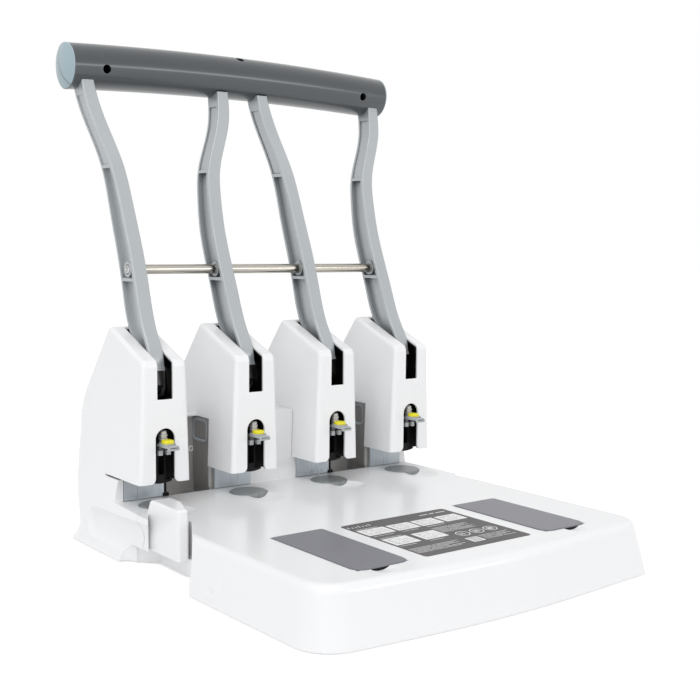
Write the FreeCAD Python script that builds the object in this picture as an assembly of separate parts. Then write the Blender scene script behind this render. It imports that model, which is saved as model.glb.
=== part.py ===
import FreeCAD, Part
import math
import os

# Lever hole punch with four punching towers on one base.
# Millimetres. The pieces are drawn with X along the row of towers, Y = 0 at the
# front faces of the towers, +Y to the back and Z = 0 on the desk. On export they
# are moved so that the origin lies on the desk, under the middle of the base.

# Driving dimensions
pitch = 80.0             # distance between neighbouring holes in the paper
tower_xs = [-1.5 * pitch, -0.5 * pitch, 0.5 * pitch, 1.5 * pitch]
front_reach = -245.6     # front edge of the table, at its middle
back_reach = 124.6       # back of the rear cover, above the foot
table_z = 40.3           # paper level
table_right = 153.0      # right side of the table at the desk
table_lean = 4.5         # how far the table's walls lean in from the desk to the paper level
throat_z = 58.9          # lower edge of the towers
seam_z = 57.3            # joint between the base cover and the rear cover
stop_y = 35.0            # face that the paper's edge meets
punch_y = 23.0           # punch axis, 12 mm in front of the stop
tower_half = 20.3         # at the height of the bays
tower_lean = 0.034        # lean of the tower sides, per unit of height
wall = 2.5
tower_depth = 58.0       # joint between the head covers and the rear cover
tower_front_z = 150.5
ridge_y = 58.5
ridge_z = 174.5
slot_half = 6.5
slot_z = 122.2
arch_half = 8.1
arch_z = 100.4
pivot_y = 41.0
pivot_z = 128.0
cam_base_radius = 18.0   # ram travel per radian of handle swing
swing_deg = 55.0
disc_radius = 15.3
disc_y = 11.0
disc_top = 41.0
cheek_face = 20.0        # outer faces of the low steel cheeks, from the tower middle
cheek_in = 12.9          # faces of the high cheeks that hold the pivot pins
cheek_out = 15.9
bed_z = 34.0             # steel bed that carries the cutting discs
rod_y = 54.0
rod_z = 217.5
tube_y = 98.0
tube_z = 378.4
tube_radius = 17.8
tube_half = 152.0
tube_bow = 4.0
fit = 0.05               # radial running clearance
gap = 0.4                # clearance between covers and moving pieces

origin_shift = FreeCAD.Vector(0, -(front_reach + back_reach) / 2, 0)
up = FreeCAD.Vector(0, 0, 1)
along_x = FreeCAD.Vector(1, 0, 0)
along_y = FreeCAD.Vector(0, 1, 0)


def export(name, shape):
    moved = shape.copy()
    moved.translate(origin_shift)
    moved.exportStep("parts/" + name + ".step")
    print(name, "solids", len(moved.Solids), "valid", moved.isValid(), "volume", round(moved.Volume))


def box(x0, x1, y0, y1, z0, z1):
    return Part.makeBox(x1 - x0, y1 - y0, z1 - z0, FreeCAD.Vector(x0, y0, z0))


def rod(radius, start, direction, length):
    return Part.makeCylinder(radius, length, FreeCAD.Vector(*start), direction)


def mirrored(shape):
    return shape.mirror(FreeCAD.Vector(0, 0, 0), along_x)


def fuse(shapes):
    joined = shapes[0].fuse(shapes[1:]) if len(shapes) > 1 else shapes[0]
    return joined.removeSplitter()


def plan_point(level):
    return lambda u, v: FreeCAD.Vector(u, v, level)


def side_point(x):
    return lambda u, v: FreeCAD.Vector(x, u, v)


def front_point(y):
    return lambda u, v: FreeCAD.Vector(u, y, v)


def outline(corners, place):
    # Closed wire through corners (u, v) or (u, v, radius), each radius a tangent arc.
    edges = []
    ends = []
    count = len(corners)
    for i in range(count):
        here = FreeCAD.Vector(corners[i][0], corners[i][1], 0)
        before = FreeCAD.Vector(corners[i - 1][0], corners[i - 1][1], 0) - here
        after = FreeCAD.Vector(corners[(i + 1) % count][0], corners[(i + 1) % count][1], 0) - here
        radius = corners[i][2] if len(corners[i]) > 2 else 0
        if radius == 0:
            ends.append((here, here, here))
            continue
        before.normalize()
        after.normalize()
        half = before.getAngle(after) / 2
        reach = radius / math.tan(half)
        inward = before + after
        inward.normalize()
        centre = here + inward * (radius / math.sin(half))
        ends.append((here + before * reach, centre - inward * radius, here + after * reach))
    for i in range(count):
        first, middle, last = [place(p.x, p.y) for p in ends[i]]
        start = place(ends[i - 1][2].x, ends[i - 1][2].y)
        if start.distanceToPoint(first) > 1e-6:
            edges.append(Part.makeLine(start, first))
        if first.distanceToPoint(last) > 1e-6:
            edges.append(Part.Arc(first, middle, last).toShape())
    return Part.Wire(Part.__sortEdges__(edges))


def prism(corners, place, push):
    return Part.Face(outline(corners, place)).extrude(push)


def rounded(shape, radius, wanted):
    edges = [edge for edge in shape.Edges if wanted(edge.BoundBox, edge)]
    return shape.makeFillet(radius, edges)


# ---- base ----

def table_plan(inset, right_corner):
    # Bowed front and left side; the right side is straight and stands a little wider.
    left = -148.0 + inset
    right = table_right - inset
    front = front_reach + inset
    return [(left + 1.5, stop_y + 1), (left - 3.0, -75.0, 700), (left, front + 9.75, 28 - inset),
            (0, front - 3.2, 833), (right, front + 9.75, right_corner), (right, -66.0, 80),
            (right - 2.0, -30.0), (right - 5.0, stop_y + 1)]


def table_block(inset, low, high, lean):
    lower = outline(table_plan(inset, 10.0), plan_point(low))
    upper = outline(table_plan(inset + lean, 23.0), plan_point(high))
    return Part.makeLoft([lower, upper], True, True)


guide_left = -140.0      # outer face of the side guide when it is parked
guide_right = -126.5
notch_corners = [(-165, -8.5), (-126, -8.5, 3), (-126, -50, 8), (-148, -91, 10), (-165, -92)]


def guide_notch():
    return prism(notch_corners, plan_point(13.9), up * 40)


def guide_step():
    # Under the guide the skirt stands further in.
    corners = [(-165, 4), (-140, 4, 3), (-129, -7, 3), (-129, -62, 8), (-146, -88, 6), (-165, -92)]
    return prism(corners, plan_point(-1), up * 15)


def side_scoop(grow=0.0, front=-60.0):
    # Long finger scoop in the left side of the skirt.
    barrel = rod(18 + grow, (-160.5, front, 22), along_y, 68 - front)
    tips = [Part.makeSphere(18 + grow, FreeCAD.Vector(-160.5, y, 22)) for y in (front, 68)]
    return barrel.fuse(tips)


def skirt_arch(grow=0.0):
    upright = rod(10 + grow, (-152, 4, -1), up, 9)
    return upright.fuse(Part.makeSphere(10 + grow, FreeCAD.Vector(-152, 4, 8)))


def disc_dish(x, grow=0.0):
    # Shallow dish that bares the front rim of a cutting disc.
    return Part.makeSphere(30 + grow, FreeCAD.Vector(x + 2, disc_y - 24, table_z + 26.3))


screw_places = [(x, y) for x in (-45, 45) for y in (-185, -60)]
lid_x0 = 61.5
lid_x1 = 104.5
lid_back = -119.7
lid_front = -216.2
lid_hinge_y = -122.0
lid_hinge_z = 38.9
lid_hinge_reach = 3.0


def lid_plan(grow, place_z):
    corners = [(lid_x0 - grow, lid_back + 2 * grow, 3), (lid_x1 + grow, lid_back + 2 * grow, 3),
               (lid_x1 + grow, lid_front - grow, 9), (lid_x0 - grow, lid_front - grow, 9)]
    return corners, plan_point(place_z)


def storage_tray():
    outside = box(lid_x0 - 1.2, lid_x1 + 1.2, lid_front - 1, lid_back + 1, 11, table_z - 2.5)
    inside = box(lid_x0 + 0.8, lid_x1 - 0.8, lid_front + 1, lid_back - 1, 13, table_z)
    return outside, inside


label_x = 48.0
label_y0 = -215.2
label_y1 = -122.2
label_corner = 2.5


def label_plan(grow):
    return [(-label_x - grow, label_y0 - grow, label_corner), (label_x + grow, label_y0 - grow, label_corner),
            (label_x + grow, label_y1 + grow, label_corner), (-label_x - grow, label_y1 + grow, label_corner)]


def low_plan(left, right, half, back, corner, inset=0.0):
    front = -30.0 + inset
    reach = half + 0.4 - inset
    turn = corner - inset
    return [(-left + inset, front), (right - inset, front), (half - inset, stop_y),
            (reach, back - inset, turn), (-reach, back - inset, turn), (-half + inset, stop_y)]


def table_side(height):
    # The table's right side at the line where the rear half begins.
    return table_right - 2.0 - table_lean * height / table_z


# (height, left reach at the notch, right reach there, half width at the towers, back face, back corner)
low_sections = [(1.0, 152.5, table_side(1.0), 152.5, 116.0, 24),
                (5.0, 150.6, table_side(5.0), 150.2, 114.5, 27),
                (12.0, 149.6, table_side(12.0), 147.6, 115.5, 28),
                (26.0, 149.8, table_side(26.0), 146.2, 118.0, 25),
                (table_z, 149.6, table_side(table_z), 144.6, 121.0, 21)]
high_sections = [(table_z, 144.6, 144.6, 144.6, 121.0, 21), (48.0, 143.4, 143.4, 143.4, 123.0, 20.5),
                 (seam_z, 141.7, 141.7, 141.7, back_reach, 20)]
roof_sections = [(seam_z, 141.7, 141.7, 141.7, back_reach, 20), (66.0, 141.3, 141.3, 141.3, 124.0, 20),
                 (99.0, 140.3, 140.3, 140.3, 119.5, 20)]


def section_loft(sections, inset=0.0):
    wires = []
    for height, left, right, half, back, corner in sections:
        wires.append(outline(low_plan(left, right, half, back, corner, inset), plan_point(height)))
    return Part.makeLoft(wires, True, True)


def rear_low(inset=0.0):
    low = section_loft(low_sections, inset)
    high = section_loft(high_sections, inset)
    return low.fuse(high.common(box(-200, 200, stop_y + 1 + inset, 200, 0, 200)))


def base_cover():
    front = table_block(0, 0.0, table_z, table_lean)
    front = rounded(front, 6.0, lambda b, e: b.ZMin > table_z - 0.1 and b.YMax < stop_y + 0.9)
    beside_notch = front.common(box(-144, 200, -30, 60, 0, 60))
    front = front.common(box(-200, 200, -300, -29.9, 0, 60)).fuse(beside_notch)
    skin = front.fuse(rear_low())
    hollow = table_block(3.0, 0.0, table_z - 3.0, table_lean)
    hollow = hollow.common(box(-200, 200, -300, -29, 0, 60))
    hollow = hollow.fuse([rear_low(3.0), box(-140, 140, -40, stop_y + 4.2, 0, table_z - 3.0)])
    hollow = hollow.cut(box(-200, 200, -300, stop_y + 3.9, table_z - 3.0, 60))
    hollow = hollow.fuse(box(-138.4, 138.4, stop_y + 3.0, 105, 0, 70))
    keep = [side_scoop(2.6), mirrored(side_scoop(2.6, -8.0)), skirt_arch(2.6), mirrored(skirt_arch(2.6))]
    keep += [disc_dish(x, 2.4) for x in tower_xs]
    keep.append(prism([(-170, -4), (-122.5, -4, 3), (-122.5, -55, 8), (-144, -99, 10), (-170, -99)],
                      plan_point(-2.0), up * (table_z + 2.0)))
    keep.append(prism([(-170, 6.6), (-138.2, 6.6), (-126.2, -5.4), (-126.2, -20), (-170, -20)],
                      plan_point(-2.0), up * 18.5))
    keep.append(box(-129, -66, -50, -10, 10.9, 13.9))
    keep += [rod(5.0, (x, y, 7.0), up, table_z - 8.0) for x, y in screw_places]
    for shape in keep:
        hollow = hollow.cut(shape)
    shell = skin.cut(hollow).cut(box(-200, 200, -300, 200, -5, 1.0))
    for x0, x1 in ((-137.3, -22.9), (22.9, 137.3)):
        shell = shell.cut(box(x0, x1, stop_y - 0.1, stop_y + 6, -1, 70))
    for side in (1, -1):
        outside, pocket = storage_tray()
        corners, place = lid_plan(gap, table_z - 2.5)
        mouth = prism(corners, place, up * 5)
        pins = rod(0.8 + fit, (lid_x0 - lid_hinge_reach, lid_hinge_y, lid_hinge_z), along_x,
                   lid_x1 - lid_x0 + 2 * lid_hinge_reach)
        swing = rod(3.5, (lid_x0 - gap, lid_hinge_y, lid_hinge_z), along_x, lid_x1 - lid_x0 + 2 * gap)
        finger = Part.makeSphere(16, FreeCAD.Vector((lid_x0 + lid_x1) / 2 + 4, lid_front - 3, table_z + 13.8))
        if side < 0:
            outside, pocket, mouth = [mirrored(shape) for shape in (outside, pocket, mouth)]
            pins, swing, finger = [mirrored(shape) for shape in (pins, swing, finger)]
        shell = shell.fuse(outside)
        for shape in (pocket, mouth, pins, swing, finger):
            shell = shell.cut(shape)
    shell = shell.cut(prism(label_plan(0.2), plan_point(table_z - 1.0), up * 3))
    for x in tower_xs:
        shell = shell.cut(rod(disc_radius + 0.3, (x, disc_y, 20), up, 30))
        shell = shell.cut(disc_dish(x))
    for shape in (guide_notch(), guide_step(), side_scoop(), skirt_arch()):
        shell = shell.cut(shape)
    shell = shell.cut(mirrored(side_scoop(0.0, -8.0))).cut(mirrored(skirt_arch()))
    shell = shell.cut(box(-130, -120, -46.5, -13.5, 13.9, 18.1))
    shell = shell.cut(drawer_front(0.4))
    for x, y in screw_places:
        shell = shell.cut(rod(1.7, (x, y, 5.0), up, 14.0))
    return shell.removeSplitter()


def tower_profile(inset=0.0):
    corners = [(0, 20), (0, tower_front_z, 6), (ridge_y, ridge_z, 5), (106.5, 112, 70), (115, 60, 40),
               (115, 20)]
    wire = outline(corners, side_point(0))
    return wire.makeOffset2D(-inset) if inset else wire


def tower_block(x, inset=0.0):
    # The side faces lean in by tower_lean towards the top.
    low = tower_half + tower_lean * (97 - 20) - inset
    high = tower_half + tower_lean * (97 - 190) - inset
    ends = [(x - low, 20), (x + low, 20), (x + high, 190), (x - high, 190)]
    wedge = prism(ends, front_point(-10), along_y * 150)
    solid = Part.Face(tower_profile(inset)).extrude(along_x * 60)
    solid.translate(FreeCAD.Vector(x - 30, 0, 0))
    solid = solid.common(wedge)
    if inset == 0:
        solid = rounded(solid, 3.5, lambda b, e: b.XLength < 6 and b.ZMax > 60 and abs(b.Center.x - x) > 10
                        and (b.YLength > 0.5 or b.ZLength > 5) and b.YMax < 114.9)
    return solid


def bays():
    # Spaces between the first and second and between the third and fourth tower.
    left = box(-1.5 * pitch + 16.9, -0.5 * pitch - 16.9, 38, 69.2, table_z, 97.5)
    return left.fuse(mirrored(left))


def rear_cover():
    outer = section_loft(roof_sections).common(box(-200, 200, stop_y + 1, 200, 0, 200))
    inner = section_loft([(height - (3.0 if height > 90 else 0), left, right, half, back, corner)
                          for height, left, right, half, back, corner in roof_sections], 3.0)
    inner = inner.fuse(box(-137, 137, stop_y + 4, 110, 30, 90))
    inner = inner.common(box(-200, 200, stop_y + 4, 200, 0, 200))
    shell = outer.cut(inner)
    head_space = box(-160, -22.6, 30, tower_depth, seam_z, 120)
    shell = shell.cut(head_space).cut(mirrored(head_space))
    fins = []
    for x in tower_xs:
        front_half = box(x - 30, x + 30, -10, tower_depth, throat_z - 0.2, 120)
        shell = shell.cut(tower_block(x, -gap).common(front_half))
        fin = tower_block(x).cut(tower_block(x, wall))
        fin = fin.common(box(-200, 200, tower_depth, 140, 96.0, 200))
        fins.append(fin)
        shell = shell.cut(box(x - 17, x + 17, tower_depth, 109, 90, 99.5))
    shell = shell.fuse(fins)
    return shell.cut(bays()).removeSplitter()


def drawer_front(grow):
    return box(-92 - grow, 92 + grow, 100, 140, 10.0 - grow, 32.0 + grow)


def chip_drawer():
    panel = rear_low(0.4).common(drawer_front(0)).cut(rear_low(3.4))
    tray = box(-89, 89, 74, 124, 10.0, 30).cut(box(-87, 87, 76, 124, 12.0, 31))
    pull = Part.makeSphere(11, FreeCAD.Vector(0, 125.6, 20))
    return fuse([panel, tray.common(rear_low(0.8))]).cut(pull)


def base_plate():
    plan = [(-138, 9.9, 3), (-121.6, -6.5, 3), (-121.6, -57, 8), (-138, -97, 8), (-138, -232, 22),
            (138, -232, 22), (138, 100, 20), (-138, 100, 20)]
    plate = prism(plan, plan_point(4.0), up * 3)
    for x, y in frame_bolt_places():
        plate = plate.cut(rod(3.1, (x, y, 3), up, 6))
    for x, y in screw_places:
        plate = plate.cut(rod(1.8, (x, y, 3), up, 6))
    return plate


def foot_places():
    return [(-122, -205), (122, -205), (0, -205), (-120, 70), (120, 70), (0, 70)]


def feet():
    pads = []
    for x, y in foot_places():
        pad = Part.makeCone(10, 11, 4.0, FreeCAD.Vector(x, y, 0), up)
        pads.append(pad)
    return Part.makeCompound(pads)


def frame_bolt_places():
    return [(x, y) for x in (-110, -50, 50, 110) for y in (12, 56)]


def frame_bolts():
    bolts = []
    for x, y in frame_bolt_places():
        head = Part.makePolygon([FreeCAD.Vector(x + 5 * math.cos(a), y + 5 * math.sin(a), 1.2)
                                 for a in [math.radians(60 * k) for k in range(7)]])
        head = Part.Face(head).extrude(up * 2.8)
        bolts.append(head.fuse(rod(3.0, (x, y, 4.0), up, 9.0)))
    return Part.makeCompound(bolts)


# ---- towers ----

def head_cover(index):
    x = tower_xs[index]
    shell = tower_block(x).cut(tower_block(x, wall))
    shell = shell.cut(box(x - 19, x + 19, wall, 130, 0, 62))
    shell = shell.common(box(x - 30, x + 30, -5, tower_depth, throat_z, 200))
    shell = shell.cut(box(x - slot_half, x + slot_half, -5, 54, slot_z, 200))
    sill = [(-5, slot_z), (0, slot_z), (3, slot_z - 2.6), (6, slot_z - 2.6), (6, slot_z + 5),
            (-5, slot_z + 5)]
    shell = shell.cut(prism(sill, side_point(x - slot_half), along_x * (2 * slot_half)))
    arch = box(x - arch_half, x + arch_half, -5, wall + 1, 50, arch_z - arch_half)
    arch = arch.fuse(rod(arch_half, (x, -5, arch_z - arch_half), along_y, wall + 6))
    shell = shell.cut(arch)
    bay_side = 1 if index in (0, 2) else -1
    inner_edge = x + bay_side * 20
    shell = shell.cut(box(inner_edge - 4, inner_edge + 4, 38.5, 70, 50, 97.5))
    shell = shell.removeSplitter()
    low = throat_z + 0.1
    shell = rounded(shell, 4.0, lambda b, e: (b.ZMax < low and b.YLength > 1 and b.YLength < 3
                                              and abs(abs(b.Center.x - x) - arch_half) < 0.1))
    return shell


def punch_frame(first):
    # Welded steel frame of a pair of towers, drawn for the left pair.
    a = tower_xs[first]
    b = tower_xs[first + 1]
    plates = [box(a - 17, b + 17, -3.4, 69, bed_z - 4.5, bed_z),
              box(a - 17, b + 17, -3.4, 0.6, 7, bed_z),
              box(a - 17, b + 17, 65, 69, 7, 97),
              box(a - 17, b + 17, -3.4, 22, 7, 10),
              box(a - 17, b + 17, 46, 69, 7, 10),
              box(a - cheek_out, a - cheek_in, 37, 69, bed_z, 142),
              box(b + cheek_in, b + cheek_out, 37, 69, bed_z, 142),
              box(a + 16.5, a + cheek_face, 38.8, 69, bed_z, 97),
              box(b - cheek_face, b - 16.5, 38.8, 69, bed_z, 97),
              box(a + cheek_in, a + cheek_face, 40, 69, 93, 97),
              box(b - cheek_face, b - cheek_in, 40, 69, 93, 97),
              box(a + cheek_in, a + cheek_out, 38.8, 69, 93, 142),
              box(b - cheek_out, b - cheek_in, 38.8, 69, 93, 142),
              box(a - 17, a + 17, 37, 40.5, bed_z, 62),
              box(b - 17, b + 17, 37, 40.5, bed_z, 62)]
    for x in (a, b):
        plates.append(box(x - 17, x + 17, 33.6, 40, 62, 90))
        for side in (-1, 1):
            inner = min(side * cheek_in, side * cheek_out)
            outer = max(side * cheek_in, side * cheek_out)
            plates.append(rod(11, (x + inner, pivot_y, pivot_z), along_x, outer - inner))
            plates.append(box(x + inner, x + outer, pivot_y - 11, 69, pivot_z - 2, 142))
    frame = plates[0].fuse(plates[1:])
    for x in (a, b):
        frame = frame.cut(rod(5.0, (x - 20, pivot_y, pivot_z), along_x, 40))
        frame = frame.cut(rod(3.0 + fit, (x, disc_y, bed_z - 6), up, 8))
        window = prism([(42.8, 78.3, 3.6), (63.4, 78.3, 3.6), (63.4, 94.6, 3.6), (42.8, 94.6, 3.6)],
                       side_point(x), along_x * 1.0)
        side = 1 if x == a else -1
        window.translate(FreeCAD.Vector(side * (cheek_face - 0.9) - (0.0 if side > 0 else 1.0), 0, 0))
        frame = frame.cut(window)
    for bolt_x, bolt_y in frame_bolt_places():
        frame = frame.cut(rod(3.1, (bolt_x, bolt_y, 6), up, 6))
    return frame.cut(box(-141, -124, -5, 9, 5, 17.5)).removeSplitter()


def stop_plate(x):
    plate = box(x - 17, x + 17, stop_y, stop_y + 1.9, table_z + 0.5, 61.5)
    return plate


def pivot_pins():
    pins = [rod(5.0, (x - cheek_out, pivot_y, pivot_z), along_x, 2 * cheek_out) for x in tower_xs]
    return Part.makeCompound(pins)


sleeve_radius = 9.5
sleeve_low = 58.8
sleeve_high = 88.0
ram_radius = 5.0
punch_radius = 3.0
ram_low = 70.0
head_low = 115.7
ram_top = pivot_z - 6.3
clip_z = 83.5


def guide_sleeve(x):
    # Black guide block with a rounded nose that fills the tower behind the arch.
    plan = [(x - 16.8, 12), (x - 8, 12), (x - 7.5, 6.6, 7.4), (x + 7.5, 6.6, 7.4), (x + 8, 12),
            (x + 16.8, 12), (x + 16.8, 33.5, 1), (x - 16.8, 33.5, 1)]
    block = prism(plan, plan_point(sleeve_low), up * (sleeve_high - sleeve_low))
    chin = rod(28, (x, 6.6, sleeve_low + 26.6), along_y, 26.9)
    chin = chin.common(box(x - 9, x + 9, 6, 33, 50, sleeve_low + 1))
    block = block.fuse(chin)
    block = block.cut(rod(ram_radius + fit, (x, punch_y, 50), up, 60))
    return block.cut(box(x - 2.5, x + 2.5, 4, punch_y, 64, 100)).removeSplitter()


def ram(x):
    body = rod(ram_radius, (x, punch_y, ram_low), up, head_low - ram_low)
    head = rod(6.5, (x, punch_y, head_low), up, ram_top - head_low)
    body = body.fuse(head).removeSplitter()
    body = body.cut(rod(punch_radius, (x, punch_y, ram_low - 1), up, 9))
    return body.cut(rod(2.0 + fit, (x, punch_y + 2, clip_z), -along_y, 12))


def punch_pin(x):
    pin = rod(punch_radius, (x, punch_y, 58.5), up, ram_low + 8 - 58.5)
    return pin.cut(Part.makeCone(2.4, 1.6, 9, FreeCAD.Vector(x, punch_y, 58.4), up))


def return_spring(x):
    # Half turns in tilted planes, each starting where the one below ends.
    radius = 6.6
    half_turns = 8
    low = sleeve_high + 0.9
    rise = (head_low - 0.9 - low) / half_turns
    arcs = []
    for step in range(half_turns):
        side = 1 if step % 2 == 0 else -1
        level = low + rise * step
        wire = Part.makeCircle(0.7, FreeCAD.Vector(x + side * radius, punch_y, level), along_y)
        disc = Part.Face(Part.Wire([wire]))
        middle = FreeCAD.Vector(x, punch_y, level + rise / 2)
        arcs.append(disc.revolve(middle, FreeCAD.Vector(side * rise, 0, 2 * radius), 180))
    return fuse(arcs)


def clip(x):
    # Clear tab with a stem that fits into the ram.
    tab = prism([(x - 4.8, -13.5, 2), (x + 4.8, -13.5, 2), (x + 4.8, 5.8), (x - 4.8, 5.8)],
                plan_point(87.0), up * 3.0)
    lip = box(x - 4.8, x + 4.8, -13.5, -12.0, 85.6, 88).common(rod(40, (x, -13.5 + 40, 80), up, 20))
    legs = [box(x - 5.0, x - 1.6, 0.6, 3.6, 80, 87), box(x + 1.6, x + 5.0, 0.6, 3.6, 80, 87)]
    back = box(x - 4.8, x + 4.8, 3.6, 5.8, 81.3, 90)
    upright = prism([(x - 3.2, 2.2, 1), (x + 3.4, 2.2, 1), (x + 3.4, 5.8), (x - 3.2, 5.8)],
                    plan_point(89.9), up * 8.6)
    stem = rod(2.0, (x, 5, clip_z), along_y, 18)
    return fuse([tab, lip, back, upright, stem] + legs)


def clip_pad(x):
    pad = prism([(x - 4.5, -8, 2), (x + 4.5, -8, 2), (x + 4.5, 1.9, 1), (x - 4.5, 1.9, 1)],
                plan_point(90.0), up * 2.8)
    return rounded(pad, 0.8, lambda b, e: b.ZMin > 92.7)


def cutting_disc(x):
    disc = rod(disc_radius, (x, disc_y, bed_z + 0.2), up, disc_top - bed_z - 0.2)
    disc = disc.makeChamfer(0.8, [e for e in disc.Edges if e.BoundBox.ZMin > disc_top - 0.1])
    stub = rod(3.0, (x, disc_y, bed_z - 3.5), up, 4)
    disc = fuse([disc, stub])
    for k in range(12):
        a = math.radians(30 * k)
        reach = disc_radius + 0.3
        disc = disc.cut(rod(1.0, (x + reach * math.cos(a), disc_y + reach * math.sin(a), 35), up, 8))
    return disc


# ---- handle ----

# (height, front face, depth, sideways lean away from the partner lever, half width)
lever_stations = [(146.0, 11.5, 25.0, 0.0, 6.0), (172.0, 23.0, 25.0, 0.0, 6.0),
                  (200.0, 35.0, 24.5, -0.6, 6.0), (228.0, 46.0, 23.5, -1.4, 6.0),
                  (252.0, 55.4, 22.5, -1.0, 5.9), (276.0, 63.2, 20.5, 0.5, 5.8),
                  (298.0, 69.4, 18.5, 3.4, 5.8), (318.0, 73.4, 17.0, 9.8, 5.8),
                  (338.0, 77.6, 16.5, 16.6, 5.8), (354.0, 82.0, 17.0, 19.6, 5.5),
                  (372.0, 85.5, 17.0, 20.4, 5.2)]
flange = 3.0
web_half = 1.8
tip_z = 364.5


def lever_section(x, lean_sign, station, side, web):
    # side 0 is the whole bar, -1 and 1 are the recesses of its two flanks
    height, front, depth, lean, half = station
    cx = x + lean_sign * lean
    back = front + depth
    low, high = cx - half, cx + half
    if side != 0:
        low, high = sorted([cx + side * (web if web < 3 else half - 1.0), cx + side * (half + 6)])
        front += flange
        back -= flange
    corners = [(low, front), (high, front), (high, back), (low, back)]
    vectors = [FreeCAD.Vector(u, v, height) for u, v in corners]
    return Part.makePolygon(vectors + [vectors[0]])


def lever_bar(x, lean_sign, side, web=web_half):
    sections = [lever_section(x, lean_sign, station, side, web) for station in lever_stations]
    return Part.makeLoft(sections, True, False)


def handle_tube_solid(radius, extra=0.0):
    half = tube_half + extra
    sag = tube_bow * (half / tube_half) ** 2
    arc = Part.Arc(FreeCAD.Vector(-half, tube_y, tube_z - sag), FreeCAD.Vector(0, tube_y, tube_z),
                   FreeCAD.Vector(half, tube_y, tube_z - sag)).toShape()
    direction = arc.tangentAt(arc.FirstParameter)
    circle = Part.Wire(Part.makeCircle(radius, arc.valueAt(arc.FirstParameter), direction))
    return Part.Wire(arc).makePipeShell([circle], True, False)


def cam_point(angle):
    # Involute of the cam's base circle, in the lever's rest position.
    drop = 6.0 + cam_base_radius * angle
    u = -cam_base_radius * math.cos(angle) - drop * math.sin(angle)
    v = cam_base_radius * math.sin(angle) - drop * math.cos(angle)
    return FreeCAD.Vector(0, pivot_y + u, pivot_z + v)


def lever_foot(x):
    # Hub on the pivot pin with the cam lobe that pushes the ram.
    start = -0.12
    end = math.radians(swing_deg) + 0.12
    curve = Part.BSplineCurve()
    curve.interpolate([cam_point(start + (end - start) * k / 8) for k in range(9)])
    first = cam_point(start)
    last = cam_point(end)
    corners = [last, FreeCAD.Vector(0, 12.5, 147), FreeCAD.Vector(0, 16, 158), FreeCAD.Vector(0, 40, 158),
               FreeCAD.Vector(0, 52, 128), FreeCAD.Vector(0, 44, 118), FreeCAD.Vector(0, 36, 118.6),
               FreeCAD.Vector(0, 31.5, 122.6), first]
    edges = [curve.toShape()]
    for k in range(len(corners) - 1):
        edges.append(Part.makeLine(corners[k], corners[k + 1]))
    plate = Part.Face(Part.Wire(Part.__sortEdges__(edges))).extrude(along_x * 8)
    plate.translate(FreeCAD.Vector(x - 4, 0, 0))
    hub = rod(11, (x - 6, pivot_y, pivot_z), along_x, 12)
    return plate.fuse(hub)


def lever_arm(index):
    x = tower_xs[index]
    lean_sign = -1 if index in (0, 2) else 1
    if index == 1:
        lean_sign = 1
    if index == 2:
        lean_sign = -1
    arm = lever_bar(x, lean_sign, 0)
    arm = rounded(arm, 1.2, lambda b, e: b.ZLength > 5)
    for low, high, web in [(151, rod_z - 9, web_half), (rod_z - 6.6, 296, web_half), (298.4, 352, 4)]:
        band = box(x - 60, x + 60, 0, 150, low, high)
        for side in (-1, 1):
            arm = arm.cut(lever_bar(x, lean_sign, side, web).common(band))
    boss = rod(6.0, (x - 4.6 + lean_sign * -1.2, rod_y, rod_z), along_x, 9.2)
    arm = arm.fuse([boss, lever_foot(x)])
    arm = arm.cut(rod(5.0 + fit, (x - 20, pivot_y, pivot_z), along_x, 40))
    arm = arm.cut(rod(3.95, (x - 20, rod_y, rod_z), along_x, 40))
    arm = arm.cut(handle_tube_solid(tube_radius))
    arm = arm.cut(box(x - 60, x + 60, 0, 160, tip_z, 450))
    return arm.removeSplitter()


def handle_tube():
    tube = handle_tube_solid(tube_radius).cut(handle_tube_solid(tube_radius - 2.5, 1.0))
    for x in (-126.0, 126.0):
        tube = tube.cut(rod(3.4, (x, tube_y - 10, tube_z - 6), -along_y, 20))
    tube = tube.cut(rod(3.4, (0, tube_y, tube_z), FreeCAD.Vector(0, -0.5, 0.87), 30))
    return tube


def end_cap(side):
    # Domed cap with a plug inside the tube, square to the bowed tube's end.
    centre = FreeCAD.Vector(side * tube_half, tube_y, tube_z - tube_bow)
    outward = FreeCAD.Vector(side * tube_half, 0, -2 * tube_bow)
    outward.normalize()
    flat = rod(tube_radius, centre, outward, 1.2)
    dome_radius = (tube_radius ** 2 + 3.4 ** 2) / (2 * 3.4)
    dome = Part.makeSphere(dome_radius, centre + outward * (4.6 - dome_radius))
    slab = rod(tube_radius, centre + outward * 1.2, outward, 8)
    plug = rod(tube_radius - 2.8, centre, outward * -1, 12)
    return fuse([flat.fuse(dome.common(slab)), plug])


def cross_rod():
    return rod(3.9, (-1.5 * pitch - 5.5, rod_y, rod_z), along_x, 3 * pitch + 11)


def lever_screws():
    screws = []
    for side in (-1, 1):
        x = side * (1.5 * pitch + 5.5)
        head = rod(4.2, (x, rod_y, rod_z), along_x * side, 2.2)
        screws.append(rounded(head, 0.7, lambda b, e: b.XLength < 0.01 and abs(b.XMin - x) > 1))
    return Part.makeCompound(screws)


# ---- small parts of the table ----

def storage_lid(side):
    corners, place = lid_plan(0, 37.9)
    lid = prism(corners, place, up * 3.0)
    lid = rounded(lid, 0.8, lambda b, e: b.ZMin > 40.8)
    pin = rod(0.8, (lid_x0 - lid_hinge_reach + 0.5, lid_hinge_y, lid_hinge_z), along_x,
              lid_x1 - lid_x0 + 2 * lid_hinge_reach - 1)
    lid = fuse([lid, pin])
    return lid if side > 0 else mirrored(lid)


def label_plate():
    return prism(label_plan(0), plan_point(table_z - 1.0), up * 1.2)


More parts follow.
